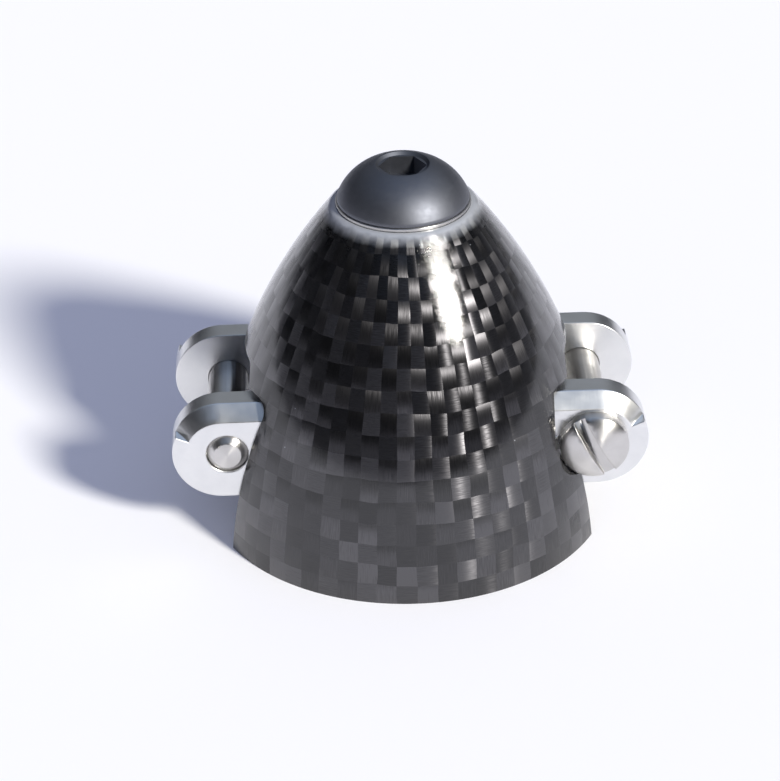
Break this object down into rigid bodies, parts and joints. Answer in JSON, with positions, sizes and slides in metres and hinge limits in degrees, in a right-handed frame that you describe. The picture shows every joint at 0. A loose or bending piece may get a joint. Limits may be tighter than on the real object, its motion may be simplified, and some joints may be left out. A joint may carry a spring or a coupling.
{
  "type": "propeller spinner",
  "caption": "Ogive spinner cone with two open side slots over a clevis yoke that carries folding blade roots, fixed by a domed nose screw.",
  "frame": {"origin": "centre of the plane of the cone's rim, on the spinner's axis", "axes": "+Z along the spinner's axis to the nose, X through the two forks, Y along the blade pins"},
  "size_m": [0.0346, 0.03, 0.0276],
  "materials": {
    "carbon": "woven carbon fibre under gloss clear resin",
    "machined_aluminium": "milled, bright",
    "black_steel": "black oxide, semi-gloss",
    "turned_steel": "turned stainless",
    "bright_washer": "stainless, bright"
  },
  "bodies": {
    "root": {"spinner_cone": "carbon", "nose_screw": "black_steel", "nose_washer": "bright_washer", "yoke": "machined_aluminium", "blade_pin_right": "turned_steel", "blade_pin_left": "turned_steel", "shaft_collet": "machined_aluminium", "clamp_nut": "bright_washer", "nut_washer": "bright_washer"}
  },
  "joints": []
}
